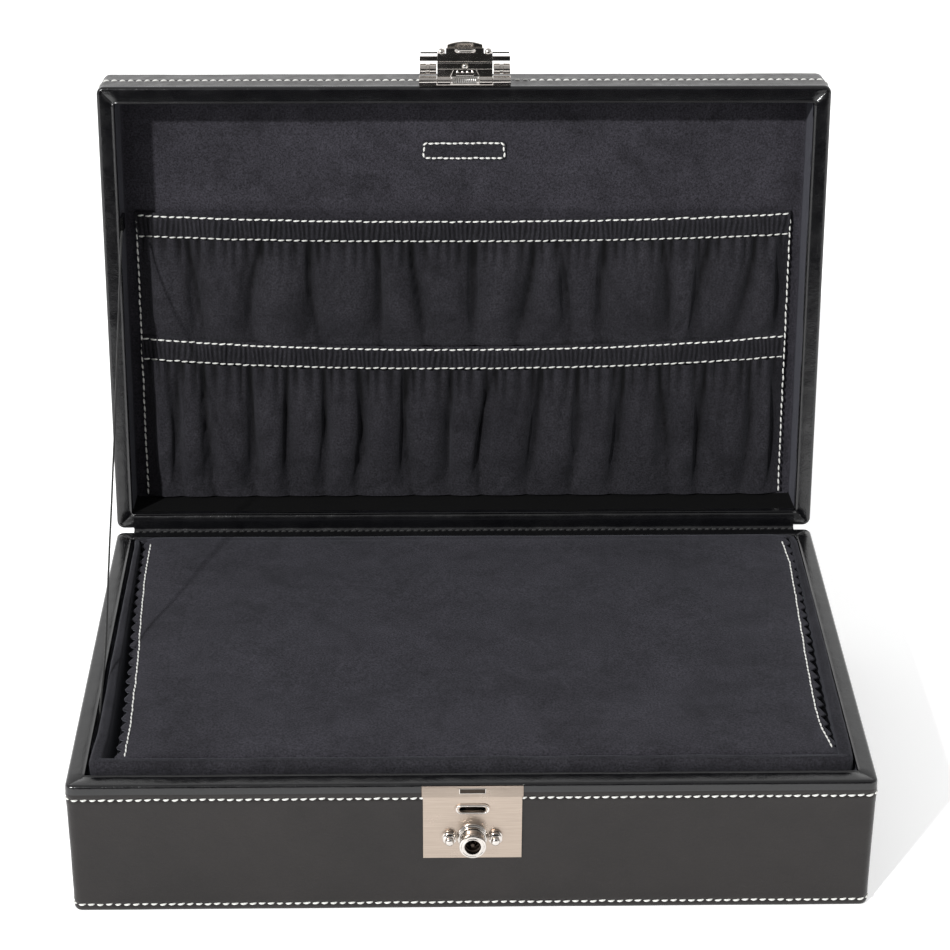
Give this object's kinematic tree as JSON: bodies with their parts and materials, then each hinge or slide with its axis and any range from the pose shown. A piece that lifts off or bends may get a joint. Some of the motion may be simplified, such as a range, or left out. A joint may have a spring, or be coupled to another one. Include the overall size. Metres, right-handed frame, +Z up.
{
  "type": "jewelry box",
  "caption": "Rectangular leather jewelry case with a hinged lid, gathered lid pockets, a lift-out tray under a suede flap, a stay cord and a hasp lock.",
  "frame": {"origin": "centre of the underside of the base, on the surface that the case stands on", "axes": "+X to the right along the case's width, +Y to the back where the lid is hinged, +Z up"},
  "size_m": [0.28, 0.2352, 0.2488],
  "materials": {
    "black_leather": "semi-matt smooth black calf leather with white topstitching",
    "rim_leather": "slightly glossy black leather turned over the rims",
    "greyboard": "hidden fibreboard",
    "suede": "charcoal suede lining with a short nap",
    "brushed_nickel": "satin brushed nickel",
    "polished_nickel": "polished nickel",
    "spring_steel": "spring steel",
    "black_cord": "thin round black cord"
  },
  "bodies": {
    "base": {"base_bottom_leather": "black_leather", "base_bottom_board": "greyboard", "base_wall_leather": "black_leather", "base_rim_binding": "rim_leather", "base_front_board": "greyboard", "base_back_board": "greyboard", "base_left_board": "greyboard", "base_right_board": "greyboard", "base_wall_lining": "suede", "base_floor_pad": "suede", "lower_long_divider": "suede", "lower_cross_dividers": "suede", "tray_rests": "suede", "hinge_strip": "rim_leather", "lock_plate": "brushed_nickel", "lock_case": "brushed_nickel", "lock_studs": "polished_nickel", "barrel_collar": "polished_nickel", "cord_base_tab": "rim_leather", "bolt_spring": "spring_steel"},
    "lid": {"lid_top_leather": "black_leather", "lid_top_board": "greyboard", "lid_wall_leather": "black_leather", "lid_rim_binding": "rim_leather", "lid_front_board": "greyboard", "lid_back_board": "greyboard", "lid_left_board": "greyboard", "lid_right_board": "greyboard", "lid_wall_lining": "suede", "lid_panel_pad": "suede", "lower_pocket": "suede", "lower_elastic": "suede", "upper_pocket": "suede", "upper_elastic": "suede", "label_patch": "rim_leather", "latch_plate": "polished_nickel", "latch_rivets": "polished_nickel", "hasp_pin": "polished_nickel", "hasp_spring": "spring_steel", "cord_lid_tab": "rim_leather", "stay_cord": "black_cord"},
    "hasp": {"hasp": "polished_nickel", "hasp_staple": "polished_nickel"},
    "barrel": {"lock_barrel": "polished_nickel"},
    "key_plug": {"key_plug": "polished_nickel"},
    "bolt": {"latch_bolt": "spring_steel"},
    "tray": {"tray_front_wall": "suede", "tray_back_wall": "suede", "tray_left_wall": "suede", "tray_right_wall": "suede", "tray_bottom_board": "greyboard", "tray_floor_pad": "suede", "tray_long_divider": "suede", "tray_cross_dividers": "suede", "ring_rolls": "suede"},
    "flap": {"cover_flap": "suede"}
  },
  "joints": [
    {"name": "lid_hinge", "type": "hinge", "parent": "base", "child": "lid", "pos_m": [0, 0.09, 0.0542], "axis": [-1, 0, 0], "range_deg": [-97.4, 0], "deforming": ["stay_cord", "hinge_strip"]},
    {"name": "hasp_hinge", "type": "hinge", "parent": "lid", "child": "hasp", "pos_m": [0, 0.11446, 0.23475], "axis": [-1, 0, 0], "range_deg": [-90, 0], "stiffness_Nm_per_rad": 0.01, "springref_deg": 8.59, "deforming": ["hasp_spring"]},
    {"name": "barrel_push", "type": "slide", "parent": "base", "child": "barrel", "axis": [0, 1, 0], "range_m": [0, 0.0026], "stiffness_N_per_m": 60, "springref_m": -0.001},
    {"name": "key_turn", "type": "hinge", "parent": "barrel", "child": "key_plug", "pos_m": [0, -0.095, 0.0316], "axis": [0, 1, 0], "range_deg": [0, 90]},
    {"name": "bolt_slide", "type": "slide", "parent": "base", "child": "bolt", "axis": [0, 0, 1], "range_m": [-0.0026, 0], "deforming": ["bolt_spring"]},
    {"name": "tray_lift", "type": "slide", "parent": "base", "child": "tray", "axis": [0, 0, 1], "range_m": [0, 0.06]},
    {"name": "flap_hinge", "type": "hinge", "parent": "tray", "child": "flap", "pos_m": [0, 0.0768, 0.0553], "axis": [-1, 0, 0], "range_deg": [0, 95]}
  ],
  "couplings": [
    {"joint": "bolt_slide", "follows": "barrel_push", "ratio": -1}
  ]
}
